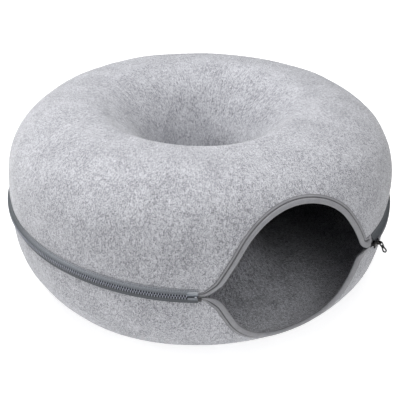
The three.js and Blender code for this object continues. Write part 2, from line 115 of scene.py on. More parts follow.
# Binding tape folded over the felt edge
BINDING = {
    "thickness": 0.0006,
    "flange": 0.0008,
    "outer_leg": 0.0100,
    "inner_leg": 0.007,
    "bead": 0.0014,
    "bead_centre": 0.0040,
    "bead_tip": 0.0017,
    "bead_foot": (0.0043, 0.0058),
    "round_power": 2.1,
    "groove_at": 0.0058,
    "groove_depth": 0.0008,
    "groove_width": 0.0008,
    "end_share": 0.36,
    "end_taper": 0.026,
    "hem": 0.001,
    # half width and share of the painted shadow line at the outer hem
    "painted_hem_shadow": (0.0009, 0.62),
    "leg_steps": 12,
    "round_steps": 11,
}
RIBS = {"pitch": 0.0017, "height": 0.00016, "slant": 0.35, "steps": 5}
STITCH = {
    "pitch": 0.0032,
    "length": 0.0029,
    "radius": 0.00036,
    "dip": 0.08,
    "end_share": 0.45,
    "sunk_share": 0.8,
    "sides": 6,
    "stations": 5,
}

# Zip
TAPE = {
    "thickness": 0.0008,
    "clearance": 0.00012,
    "flat_width": 0.0122,
    "sewn_edge": 0.0105,
    "fold_foot": 0.0026,
    "fold_top": 0.0098,
    "ridge_radius": 0.2991,
    "middle_edge": 0.0003,
    "middle_drop": 0.0010,
    "drop_width": 0.0012,
    "stitches_at": 0.0090,
    "columns": 900,
    "rows": 16,
    "start": 0.0055,
    "gap": 0.0005,
}
ZIP_RISE = 0.0018  # how far the teeth meet above the line between the two halves
TEETH = {
    "pitch": 0.00357,
    "radius": 0.2994,
    "reach": 0.0034,
    "overlap": 0.0004,
    "half_depth": 0.0005,
    "root_half": 0.00066,
    "head_half": 0.00080,
    "power": 3.3,
    "end_draw": 0.45,
    "sides": 8,
    "stations": 6,
}
END_BOX = {
    "length": 0.0180,
    "past_end": 0.0045,
    "half_heights": (0.0019, 0.0027),
    "drops": (0.0007, 0.0023),
    "back_radius": 0.2984,
    "top_radius": 0.3000,
    "dark": 0.0056,
    "dark_step": 0.0002,
    "bevel": 0.0004,
    "bevel_share": 0.8,
    "power": 3.3,
    "columns": 14,
    "sides": 16,
}
END_STOP = {
    "before_end": 0.0030,
    "above": 0.0022,
    "radius": 0.2999,
    "half_sizes": (0.0016, 0.0007, 0.0008),
    "tip_share": 0.22,
    "columns": 9,
    "sides": 12,
}
FILM = {
    "length": 0.0145,
    "thickness": 0.00025,
    "clearance": 0.0001,
    "edges": (0.0022, 0.0082),
    "columns": 24,
    "rows": 10,
}

# The camera, fitted to the outline, the hole and the zip
CAMERA = {
    "elevation": math.radians(30.06),
    "target": (0, 0, 0.110),
    "distance": 1.2225,
    "lens": 67.79,
    "sensor": 36,
    "shift": (0.00275, -0.013575),
    "roll": math.radians(0.40),
}

FLOOR = {"half": 8.0, "below": 0.0003}

# Soft lamps round the tunnel: name, azimuth and elevation in degrees, size and power
STUDIO = {
    "ambient": 0.02,
    "centre": (0, 0, 0.12),
    "distance": 2.5,
    "lamps": (
        ("key", -115, 66, 1.6, 50),
        ("left", -88, 10, 1.6, 22),
        ("top", 20, 82, 1.6, 31),
        ("front", 14, 46, 1.6, 19),
    ),
}


class Half:
    """One half ring, with its section as arrays of radius and height against the length from the zip line.

    The section is a waist that draws in quadratically towards the zip, a superellipse quarter over the
    shoulder, for the lower half a flat foot, and a superellipse quarter into the hole.
    """

    DIVISIONS = 1500

    def __init__(self, side, shoulder, powers, mouth, foot=None):
        self.side = side
        self.mouth = mouth
        share = np.linspace(0, 1, self.DIVISIONS)
        turn = share * QUARTER_TURN
        radius, height = shoulder
        self.shoulder_height = height
        outer_centre, inner_centre = foot or (CROWN_RADIUS, CROWN_RADIUS)
        top = HEIGHT if side > 0 else 0
        waist = (radius - WAIST * (1 - share) ** 2, ZIP_HEIGHT + (height - ZIP_HEIGHT) * share)
        outer = quarter((outer_centre, height), (radius - outer_centre, top - height), powers[0], turn)
        inner_reach = (HOLE_RADIUS - inner_centre, top - ZIP_HEIGHT)
        inner = quarter((inner_centre, ZIP_HEIGHT), inner_reach, powers[1], turn[::-1])
        stretches = [waist, outer, inner]
        if foot:
            stretches.insert(2, (outer_centre + (inner_centre - outer_centre) * share, 0 * share))
        points = np.concatenate([np.stack(s, 1) for s in stretches])
        steps = np.hypot(*np.diff(points, axis=0).T)
        points = points[np.r_[True, steps > 1e-9]]
        self.lengths = np.r_[0, np.cumsum(np.hypot(*np.diff(points, axis=0).T))]
        self.length = self.lengths[-1]
        self.radii, self.heights = points.T
        slopes = np.stack([np.gradient(c, self.lengths) for c in points.T])
        self.slope_r, self.slope_z = slopes / np.hypot(*slopes)

    def at(self, along):
        """Radius, height and direction of the section at lengths along it, straight on past its ends."""
        s = np.clip(along, 0, self.length)
        radius, height, dr, dz = (
            np.interp(s, self.lengths, v) for v in (self.radii, self.heights, self.slope_r, self.slope_z)
        )
        size = np.hypot(dr, dz)
        dr, dz = dr / size, dz / size
        return radius + dr * (along - s), height + dz * (along - s), dr, dz


def quarter(centre, reach, power, turn):
    """Superellipse quarter: centre plus reach times cosine and sine of the turn, to the power 2/power."""
    level = np.clip(np.cos(turn), 0, 1) ** (2 / power)
    upright = np.clip(np.sin(turn), 0, 1) ** (2 / power)
    return centre[0] + reach[0] * level, centre[1] + reach[1] * upright


def flattened(turn, power):
    """A round with flattened sides: cosine and sine of a turn to the power 2/power, with their signs kept."""
    waves = np.stack([np.cos(turn), np.sin(turn)])
    return np.sign(waves) * np.abs(waves) ** (2 / power)


def turns(sides):
    """Even turns round a loop, half a step off the axes."""
    return (np.arange(sides) + 0.5) * TAU / sides


UPPER = Half(
    side=1,
    shoulder=(0.2955, 0.158),
    powers=(2.47, 1.9),
    mouth={"rise": 0.1078, "arch": 0.095, "fillets": (0.033, 0.021)},
)
LOWER = Half(
    side=-1,
    shoulder=(0.295, 0.115),
    powers=(2.25, 2),
    mouth={"rise": 0.1005, "arch": 0.1035, "fillets": (0.034, 0.028)},
    foot=(0.203, 0.142),
)


def smooth_step(low, high, value):
    """0 below low, 1 above high and the cubic 3t^2 - 2t^3 between them."""
    t = np.clip((value - low) / (high - low), 0, 1)
    return t * t * (3 - 2 * t)


def ring_points(angle, radius, height):
    """Points at an angle, a radius and a height: x is r sin a, y is -r cos a."""
    return np.stack(np.broadcast_arrays(radius * np.sin(angle), -radius * np.cos(angle), height), -1)


def around(angle, radius, height):
    """Points at an angle, a radius and a height, with the sags at the ends of the zip.

    A sag is a drop and a step outwards, each times cubic steps in the angle, the height and the radius.
    """
    rise = height - ZIP_HEIGHT
    turn = np.mod(angle + math.pi, TAU) - math.pi
    drop, out = 0, 0
    for end in SAGS:
        share = smooth_step(*end["grows"], turn) * (1 - smooth_step(*end["fades"], turn))
        share = share * smooth_step(*SAG_RADII, radius) * (1 - smooth_step(*end["above"], rise))
        drop = drop + end["drop"] * share * (1 - smooth_step(*end["drop_below"], -rise))
        out = out + end["out"] * share * (1 - smooth_step(*end["out_below"], -rise))
    return ring_points(angle, radius + out, height - drop)


def turned_out(along):
    """How far the felt's edge turns out under the zip tape: a parabola that ends at the lip's reach."""
    return LIP["rise"] * np.maximum(0, 1 - along / LIP["reach"]) ** 2


def felt_points(half, angle, along, depth):
    """Points of the felt: the section at a length along it, moved in square to it and turned to an angle.

    The upper half leans towards +X by half a sine wave over the first part of its section.
    """
    radius, height, dr, dz = half.at(along)
    points = around(
        angle,
        radius - half.side * dz * depth + turned_out(along),
        height + half.side * dr * depth,
    )
    if half.side > 0:
        share = np.clip(along / (LEAN["share"] * half.length), 0, 1)
        points[..., 0] += LEAN["shift"] * np.sin(math.pi * share)
    return points


def mouth_edge(half, x):
    """Length along the section and slope of the mouth's edge at lengths x from its middle.

    A round arch and at each end a round fillet, with the straight line that touches both between them.
    """
    rise, arch = half.mouth["rise"], half.mouth["arch"]
    fillet = np.where(x < 0, *half.mouth["fillets"])
    drop = arch + fillet - rise
    slant = np.arcsin((arch + fillet) / np.hypot(MOUTH_HALF, drop)) - np.arctan2(drop, MOUTH_HALF)
    distance = np.minimum(np.abs(x), MOUTH_HALF)
    arch_end = arch * np.sin(slant)
    fillet_start = MOUTH_HALF - fillet * np.sin(slant)
    on_arch = np.sqrt(np.maximum(arch**2 - np.minimum(distance, arch_end) ** 2, 0))
    left = np.minimum(MOUTH_HALF - distance, fillet * np.sin(slant))
    on_fillet = np.sqrt(fillet**2 - left**2)
    straight = rise - arch * (1 - np.cos(slant)) - (distance - arch_end) * np.tan(slant)
    places = [distance < arch_end, distance < fillet_start]
    height = np.select(places, [rise - arch + on_arch, straight], fillet - on_fillet)
    slope = np.select(places, [-distance / on_arch, -np.tan(slant)], -left / on_fillet)
    return ZIP_GAP / 2 + height, slope * np.sign(x)


def ring_columns():
    """Angles round the whole ring, and at each the length from the mouth's middle.

    Across the mouth the steps crowd towards its ends by a cubic, and the rest are even.
    """
    share = np.linspace(-1, 1, FELT_GRID["mouth"] + 1)
    crowding = FELT_GRID["crowding"]
    reach = MOUTH_HALF + np.where(share < 0, MOUTH_RUN["left"], MOUTH_RUN["right"])
    across = reach * ((1 + crowding) * share - crowding * share**3)
    rest = np.linspace(MOUTH_END, MOUTH_START + TAU, FELT_GRID["rest"] + 1)[1:-1]
    angles = np.r_[MOUTH_ANGLE + across / MOUTH_RADIUS, rest]
    return angles, np.r_[across, np.full(rest.size, MOUTH_HALF)]


def uneven(points, waves, count, seed, height):
    """A soft uneven height at each point: a sum of plane waves with seeded directions, lengths and phases."""
    rng = np.random.default_rng(seed)
    directions = rng.normal(size=(count, 3))
    directions /= np.linalg.norm(directions, axis=1, keepdims=True)
    lengths = rng.uniform(*waves, size=(count, 1))
    phases = rng.uniform(0, TAU, count)
    waves_there = np.sin(points @ (TAU * directions / lengths).T + phases)
    return height * waves_there.sum(-1) * math.sqrt(2 / count)


def loop_faces(columns, size, closed):
    """Quads between neighbouring loops of points, with strip ends where the row of loops is open."""
    here = np.arange(columns if closed else columns - 1)[:, None] * size
    there = (here + size) % (columns * size)
    j = np.arange(size)[None, :]
    k = (j + 1) % size
    faces = np.stack([here + j, there + j, there + k, here + k], -1).reshape(-1, 4)
    if closed:
        return faces
    i = np.arange(size // 2 - 1)
    start = np.stack([i, i + 1, size - 2 - i, size - 1 - i], -1)
    end = start[:, ::-1] + (columns - 1) * size
    return np.concatenate([faces, start, end])


def piece(name, points, faces, material, replaced=()):
    """A smooth closed mesh from points and quads, faces outwards, riding on the tunnel's one body."""
    points = np.asarray(points, np.float64).reshape(-1, 3)
    a, b, c, d = (points[faces[:, i]] for i in range(4))
    volume = np.einsum("ij,ij->", a, np.cross(b, c)) + np.einsum("ij,ij->", a, np.cross(c, d))
    if volume < 0:
        faces = faces[:, ::-1]
    mesh = bpy.data.meshes.new(name)
    mesh.vertices.add(len(points))
    mesh.vertices.foreach_set("co", points.astype(np.float32).ravel())
    mesh.loops.add(faces.size)
    mesh.loops.foreach_set("vertex_index", faces.astype(np.int32).ravel())
    mesh.polygons.add(len(faces))
    mesh.polygons.foreach_set("loop_start", np.arange(0, faces.size, 4, dtype=np.int32))
    mesh.update(calc_edges=True)
    mesh.polygons.foreach_set("use_smooth", np.ones(len(faces), bool))
    mesh.materials.append(material)
    made = bpy.data.objects.new(name, mesh)
    bpy.context.scene.collection.objects.link(made)
    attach(made, "root")
    if replaced:
        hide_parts(*replaced)
    return made


def point_values(made, name, values):
    """Stores one number or one vector for each point of a piece, for its material to read."""
    values = np.asarray(values, np.float32)
    kind = "FLOAT_VECTOR" if values.ndim > 1 else "FLOAT"
    field = "vector" if values.ndim > 1 else "value"
    made.data.attributes.new(name, kind, "POINT").data.foreach_set(field, values.ravel())


def rim_fold(half, angle, along):
    """How far the upper felt stands out at the rim of the hole: a bell along the section, fading by angle."""
    inner = half.radii < CROWN_RADIUS
    at = np.interp(RIM_FOLD["radius"], half.radii[inner][::-1], half.lengths[inner][::-1])
    bell = np.exp(-0.5 * ((along - at) / RIM_FOLD["width"]) ** 2)
    turn = np.abs(np.mod(angle + math.pi, TAU) - math.pi)
    return RIM_FOLD["height"] * bell * (1 - smooth_step(*RIM_FOLD["fades"], turn))


def felt_half(name, half, material, node):
    """Half ring of felt: along the outer face from the mouth or zip edge to the seam, and back inside.

    Each face is the section at even shares of its length, swollen by soft dents, small lumps and, above,
    the fold at the rim of the hole, which die away towards the edges and the floor. Near the seam the
    outer face draws in by a parabola.
    """
    angles, x = ring_columns()
    edge = mouth_edge(half, x)[0][:, None]
    end = half.length - SEAM_GAP / 2
    angle = angles[:, None]
    loops, lays = [], []
    for rows, depth, lay_shift in ((FELT_GRID["outer"], 0, 0), (FELT_GRID["inner"], FELT, INSIDE_LAY)):
        along = edge + (end - edge) * np.linspace(0, 1, rows + 1)
        plain = felt_points(half, angle, along, depth)
        fade = smooth_step(*EDGE_FADE, np.minimum(along - edge, end - along))
        fade = fade * smooth_step(*FLOOR_FADE, plain[..., 2] - depth)
        swell = uneven(plain, **FELT_DENTS)
        if half.side > 0:
            swell = swell + rim_fold(half, angle, along)
        if depth == 0:
            swell = swell + uneven(plain, **FELT_LUMPS)
        drawn = SEAM_ROUND["draw"] * np.maximum(0, 1 - (end - along) / SEAM_ROUND["reach"]) ** 2
        inwards = drawn if depth == 0 else 0
        loops.append(felt_points(half, angle, along, depth + inwards - fade * swell))
        lay = ring_points(angle, LAY_RADIUS, half.side * (along + lay_shift))
        lays.append(lay)
    loops[1], lays[1] = loops[1][:, ::-1], lays[1][:, ::-1]
    points = np.concatenate(loops, 1)
    faces = loop_faces(len(angles), points.shape[1], closed=True)
    made = piece(name, points, faces, material, [node])
    point_values(made, "felt_lay", np.concatenate(lays, 1).reshape(-1, 3))
    return made


def mouth_path(half, spacing):
    """Places at even lengths along the mouth's edge.

    Each has its length from the mouth's middle, its length along the section and, in those two lengths, the
    unit direction square to the edge into the felt.
    """
    x = np.linspace(-MOUTH_HALF - MOUTH_RUN["left"], MOUTH_HALF + MOUTH_RUN["right"], MOUTH_SAMPLES)
    along, slope = mouth_edge(half, x)
    run = np.r_[0, np.cumsum(np.hypot(np.diff(x), np.diff(along)))]
    places = np.linspace(0, run[-1], int(run[-1] / spacing) + 1)
    x, along, slope = (np.interp(places, run, v) for v in (x, along, slope))
    inwards = np.stack([-slope, np.ones_like(slope)]) / np.hypot(slope, 1)
    return places, x, along, inwards


def beside_mouth(half, path, into, depth):
    """Points square to the mouth's edge: a length into the felt and a depth below its face."""
    _, x, along, inwards = path
    angle = MOUTH_ANGLE + (x[:, None] + into * inwards[0][:, None]) / MOUTH_RADIUS
    return felt_points(half, angle, along[:, None] + into * inwards[1][:, None], depth)


def narrowed(places):
    """Share of its width that a binding keeps near its left end, where it is tucked in, by a cubic step."""
    return BINDING["end_share"] + (1 - BINDING["end_share"]) * smooth_step(0, BINDING["end_taper"], places)


def binding_section():
    """Outer face of the folded tape: distance into the felt and depth below its face, from leg to leg.

    Each leg rises from the flat flange to the bead by a cubic step, less a bell-shaped groove for the
    stitches, and a superellipse half carries it round the felt edge.
    """
    b = BINDING
    legs = []
    for leg in (b["outer_leg"], b["inner_leg"]):
        into = np.linspace(leg, b["bead_centre"], b["leg_steps"], endpoint=False)
        rise = 1 - smooth_step(*b["bead_foot"], into)
        groove = b["groove_depth"] * np.exp(-(((into - b["groove_at"]) / b["groove_width"]) ** 2))
        legs.append((into, b["flange"] + (b["bead"] - b["flange"]) * rise - groove))
    turn = np.linspace(-1, 1, b["round_steps"]) * QUARTER_TURN
    reach_in, reach_deep = b["bead_centre"] + b["bead_tip"], FELT / 2 + b["bead"]
    level, deep = quarter((0, 0), (1, 1), b["round_power"], np.abs(turn))
    round_into = b["bead_centre"] - reach_in * level
    round_depth = FELT / 2 + reach_deep * deep * np.sign(turn)
    into = np.concatenate([legs[0][0], round_into, legs[1][0][::-1]])
    depth = np.concatenate([-legs[0][1], round_depth, FELT + legs[1][1][::-1]])
    return into, depth


def mouth_binding(name, half, material, node):
    """Binding tape: its section carried along the mouth's edge, with slanting ribs as a sine wave.

    Bell-shaped values place the material's painted shade in the sewn groove and, more faintly, at the outer
    hem.
    """
    path = mouth_path(half, RIBS["pitch"] / RIBS["steps"])
    into, depth = binding_section()
    step_into, step_depth = np.gradient(into), np.gradient(depth)
    size = np.hypot(step_into, step_depth)
    out_into, out_depth = step_depth / size, -step_into / size
    sign = -1 if out_depth[0] > 0 else 1
    out_into, out_depth = sign * out_into, sign * out_depth
    across = np.cumsum(size)
    fade = smooth_step(0, BINDING["hem"], np.minimum(across, across[-1] - across))
    phase = TAU * (path[0][:, None] / RIBS["pitch"] + RIBS["slant"] * across / RIBS["pitch"])
    ribs = RIBS["height"] * fade * np.sin(phase)
    thick = BINDING["thickness"]
    share = np.where(into > 0, narrowed(path[0])[:, None], 1)
    outer = beside_mouth(half, path, share * into + ribs * out_into, depth + ribs * out_depth)
    inner = beside_mouth(half, path, share * into - thick * out_into, (depth - thick * out_depth)[None, :])
    points = np.concatenate([outer, inner[:, ::-1]], 1)
    faces = loop_faces(*points.shape[:2], closed=False)
    made = piece(name, points, faces, material, [node])
    place = np.stack(np.broadcast_arrays(path[0][:, None], across, 0), -1)
    point_values(made, "tape_lay", np.concatenate([place, place[:, ::-1]], 1).reshape(-1, 3))
    # Where the material paints shade: in the sewn groove and, fainter, a shadow line at the outer hem
    sewn = np.exp(-(((into - BINDING["groove_at"]) / BINDING["groove_width"]) ** 2))
    line_width, line_share = BINDING["painted_hem_shadow"]
    sewn = sewn + line_share * np.exp(-(((into - BINDING["outer_leg"]) / line_width) ** 2))
    point_values(made, "painted_groove_and_hem_shade", np.tile(np.r_[sewn, sewn[::-1]], len(outer)))
    return made, (across[-1], path[0][-1])


def stitch_shape():
    """One stitch: round loops of a thread along its length, whose ends dip and taper by a sine."""
    share = np.linspace(0, 1, STITCH["stations"])
    arch = np.sin(math.pi * (STITCH["dip"] + (1 - 2 * STITCH["dip"]) * share))
    turn = np.arange(STITCH["sides"]) * TAU / STITCH["sides"]
    radius = STITCH["radius"] * (STITCH["end_share"] + (1 - STITCH["end_share"]) * arch)[:, None]
    along = np.broadcast_to(((share - 0.5) * STITCH["length"])[:, None], (share.size, turn.size))
    across = radius * np.cos(turn)
    out = radius * np.sin(turn) + (STITCH["radius"] * (arch - 1))[:, None]
    return along, across, out


def many(count, shape_faces, shape_size):
    """Faces of a shape repeated count times."""
    return (shape_faces[None] + (np.arange(count) * shape_size)[:, None, None]).reshape(-1, 4)


def binding_stitches(name, half, material):
    """Stitches in the grooves on both faces of a binding, at even lengths along it."""
    path = mouth_path(half, STITCH["pitch"])
    path = tuple(v[..., 2:-2] for v in path)
    along, across, out = (v.ravel() for v in stitch_shape())
    _, x, length, inwards = path
    sides = []
    for face, sign in ((0, -1), (FELT, 1)):
        sunk = BINDING["flange"] - BINDING["groove_depth"] + STITCH["radius"] * STITCH["sunk_share"]
        into = BINDING["groove_at"] * narrowed(path[0])[:, None] + across
        sideways = x[:, None] + into * inwards[0][:, None] + along * inwards[1][:, None]
        there = length[:, None] + into * inwards[1][:, None] - along * inwards[0][:, None]
        angle = MOUTH_ANGLE + sideways / MOUTH_RADIUS
        sides.append(felt_points(half, angle, there, face + sign * (sunk + out)))
    points = np.concatenate(sides)
    shape = loop_faces(STITCH["stations"], STITCH["sides"], closed=False)
    return piece(name, points, many(len(points), shape, along.size), material)


def waist_radius(half, offset):
    """Radius of the felt's outer face at heights above or below the zip line, with its turned out lip."""
    share = np.minimum(offset / abs(half.shoulder_height - ZIP_HEIGHT), 1)
    return half.radii[0] + WAIST * (1 - (1 - share) ** 2) + turned_out(offset)


def tape_radius(half, offset):
    """Outer face of a zip tape: flat on the felt at its sewn edge, and by a cubic step out to the teeth.

    Behind the teeth it drops back by another cubic step.
    """
    foot = TAPE["fold_foot"] + half.side * ZIP_RISE
    sewn = waist_radius(half, np.maximum(offset, TAPE["fold_top"])) + TAPE["clearance"] + TAPE["thickness"]
    lifted = 1 - smooth_step(foot, TAPE["fold_top"], offset)
    behind = 1 - smooth_step(foot - TAPE["drop_width"], foot, offset)
    return sewn + (TAPE["ridge_radius"] - sewn) * lifted - TAPE["middle_drop"] * behind


def along_rim(angle, length):
    """The angle that lies a length along the rim past another one."""
    return angle + length / RIM_RADIUS


ZIP_START = along_rim(MOUTH_END, TAPE["start"])
ZIP_END = along_rim(MOUTH_START + TAU, -TAPE["gap"])
TEETH_END = along_rim(ZIP_END, END_BOX["past_end"] - END_BOX["length"] - TAPE["gap"])


def tape_sheet(half, angles, offsets, lift, thickness):
    """A thin sheet on the zip tape's outer face, lifted off it, as closed loops of points round the zip."""
    radius = tape_radius(half, offsets) + lift
    loop_radius = np.r_[radius + thickness, radius[::-1]]
    loop_offset = np.r_[offsets, offsets[::-1]]
    return around(angles[:, None], loop_radius, ZIP_HEIGHT + half.side * loop_offset)


def zip_tape(name, half, material, node):
    """Zip tape: its bent section carried round the ring from one end of the mouth to the other."""
    angles = np.linspace(ZIP_START, ZIP_END, TAPE["columns"])
    middle = TAPE["middle_edge"] + half.side * ZIP_RISE
    offsets = np.linspace(TAPE["sewn_edge"], middle, TAPE["rows"])
    points = tape_sheet(half, angles, offsets, -TAPE["thickness"], TAPE["thickness"])
    made = piece(name, points, loop_faces(*points.shape[:2], closed=False), material, [node])
    across = np.r_[offsets, offsets[::-1]] - half.side * ZIP_RISE
    lay = np.stack(np.broadcast_arrays(angles[:, None] * RIM_RADIUS, across, half.side), -1)
    point_values(made, "tape_lay", lay.reshape(-1, 3))
    return made


def tape_stitches(name, half, material):
    """The row of stitches that holds a zip tape to the felt, at even lengths round the zip."""
    count = int((ZIP_END - ZIP_START) * RIM_RADIUS / STITCH["pitch"])
    angles = np.linspace(ZIP_START, ZIP_END, count + 2)[1:-1, None]
    along, across, out = (v.ravel() for v in stitch_shape())
    offset = TAPE["stitches_at"] + across
    radius = tape_radius(half, offset) + out
    points = around(angles + along / RIM_RADIUS, radius, ZIP_HEIGHT + half.side * offset)
    shape = loop_faces(STITCH["stations"], STITCH["sides"], closed=False)
    return piece(name, points, many(count, shape, along.size), material)


def zip_teeth(name, material, node):
    """Teeth of the closed zip, from above and below by turns.

    Each is a rounded block: superellipse loops from its root to its head, wider towards the head.
    """
    t = TEETH
    count = int((TEETH_END - ZIP_START) * t["radius"] / (t["pitch"] / 2))
    angles = ZIP_START + (np.arange(count) + 0.5) * (TEETH_END - ZIP_START) / count
    share = np.linspace(-1, 1, t["stations"])[:, None]
    level, upright = flattened(turns(t["sides"]), t["power"])
    round_off = 1 - t["end_draw"] * share**4
    half_width = (t["root_half"] + (t["head_half"] - t["root_half"]) * (share + 1) / 2) * round_off
    along = (half_width * level).ravel()
    out = (t["half_depth"] * round_off * upright).ravel()
    middle, half_reach = (t["reach"] - t["overlap"]) / 2, (t["reach"] + t["overlap"]) / 2
    up = np.repeat(middle - half_reach * share, t["sides"])
    side = np.where(np.arange(count) % 2, 1, -1)[:, None]
    height = ZIP_HEIGHT + ZIP_RISE + side * up
    points = around(angles[:, None] + along / t["radius"], t["radius"] + out, height)
    shape = loop_faces(t["stations"], t["sides"], closed=False)
    faces = many(count, shape, along.size).reshape(count, -1, 4)
    faces[1::2] = faces[1::2, :, ::-1]
    return piece(name, points, faces.reshape(-1, 4), material, [node])


def zip_end_box(name, material, node):
    """Smooth moulded end of the zip: a flattened round carried along the rim, bevelled at both ends.

    Its last, dark part is taller and lower by a cubic step.
    """
    b = END_BOX
    start = along_rim(ZIP_END, b["past_end"] - b["length"])
    places = np.r_[0, np.linspace(b["bevel"], b["length"] - b["bevel"], b["columns"]), b["length"]]
    shrink = np.where((places == 0) | (places == b["length"]), b["bevel_share"], 1)[:, None]
    level, upright = flattened(turns(b["sides"]), b["power"])
    middle, half_depth = (b["back_radius"] + b["top_radius"]) / 2, (b["top_radius"] - b["back_radius"]) / 2
    radius = middle + half_depth * shrink * upright
    dark = smooth_step(-b["dark_step"], b["dark_step"], places - b["length"] + b["dark"])
    half_height = np.interp(dark, (0, 1), b["half_heights"])[:, None]
    height = ZIP_HEIGHT - np.interp(dark, (0, 1), b["drops"])[:, None] + half_height * shrink * level
    points = around(along_rim(start, places)[:, None], radius, height)
    made = piece(name, points, loop_faces(*points.shape[:2], closed=False), material, [node])
    point_values(made, "dark_end", np.repeat(dark, b["sides"]))
    return made


def zip_end_stop(name, material):
    """Pale stop at the end of the upper tape: loops thinned towards both ends by the root of 1 - share^4."""
    length, height, depth = END_STOP["half_sizes"]
    share = np.linspace(-1, 1, END_STOP["columns"])[:, None]
    turn = turns(END_STOP["sides"])
    thin = np.maximum(np.sqrt(1 - share**4), END_STOP["tip_share"])
    angle = along_rim(ZIP_END, length * share - END_STOP["before_end"])
    radius = END_STOP["radius"] + depth * thin * np.sin(turn)
    points = around(angle, radius, ZIP_HEIGHT + END_STOP["above"] + height * thin * np.cos(turn))
    return piece(name, points, loop_faces(*points.shape[:2], closed=False), material)


def zip_film(name, half, material):
    """Clear stiffening film on the last stretch of a zip tape, a hair off its face."""
    angles = np.linspace(along_rim(ZIP_END, -FILM["length"]), ZIP_END, FILM["columns"])
    offsets = np.linspace(*FILM["edges"][::-1], FILM["rows"])
    points = tape_sheet(half, angles, offsets, FILM["clearance"], FILM["thickness"])
    return piece(name, points, loop_faces(*points.shape[:2], closed=False), material)


class Finish:
    """A node material: one principled shader, with short ways to add and link nodes."""

    def __init__(self, name, **values):
        self.material = bpy.data.materials.new(name)
        self.material.use_nodes = True
        self.tree = self.material.node_tree
        self.shader = self.tree.nodes["Principled BSDF"]
        for key, value in values.items():
            self.shader.inputs[key.replace("_", " ").title().replace("Ior", "IOR")].default_value = value

    def node(self, kind, inputs=(), **settings):
        """Adds a node, sets its settings and fills its inputs, each a value or another node's output."""
        made = self.tree.nodes.new("ShaderNode" + kind)
        for key, value in settings.items():
            setattr(made, key, value)
        for key, value in dict(inputs).items():
            if isinstance(value, bpy.types.NodeSocket):
                self.tree.links.new(value, made.inputs[key])
            else:
                made.inputs[key].default_value = value
        return made

    def attribute(self, name, value="Vector"):
        return self.node("Attribute", attribute_name=name).outputs[value]

    def stretched(self, vector, scale):
        return self.node("Mapping", {"Vector": vector, "Scale": scale}).outputs["Vector"]

    def noise(self, vector, scale, detail=2.0, roughness=0.5):
        inputs = {"Vector": vector, "Scale": scale, "Detail": detail, "Roughness": roughness}
        return self.node("TexNoise", inputs).outputs["Fac"]

    def math(self, operation, a, b):
        return self.node("Math", {0: a, 1: b}, operation=operation).outputs[0]

    def spread(self, value, low, high, to_low, to_high):
        inputs = {"Value": value, "From Min": low, "From Max": high, "To Min": to_low, "To Max": to_high}
        return self.node("MapRange", inputs).outputs["Result"]

    def ramp(self, value, stops):
        made = self.node("ValToRGB", {"Fac": value})
        elements = made.color_ramp.elements
        while len(elements) < len(stops):
            elements.new(0.5)
        for element, (position, colour) in zip(elements, stops):
            element.position = position
            element.color = (*colour, 1)
        return made.outputs["Color"]

    def mixed(self, share, a, b, blend="MIX"):
        made = self.node("Mix", data_type="RGBA", blend_type=blend)
        for index, value in ((0, share), (6, a), (7, b)):
            if isinstance(value, bpy.types.NodeSocket):
                self.tree.links.new(value, made.inputs[index])
            else:
                made.inputs[index].default_value = value if index == 0 else (*value, 1)
        return made.outputs[2]

    def bump(self, height, strength, distance):
        inputs = {"Height": height, "Strength": strength, "Distance": distance}
        return self.node("Bump", inputs).outputs["Normal"]

    def set(self, key, value):
        self.tree.links.new(value, self.shader.inputs[key])


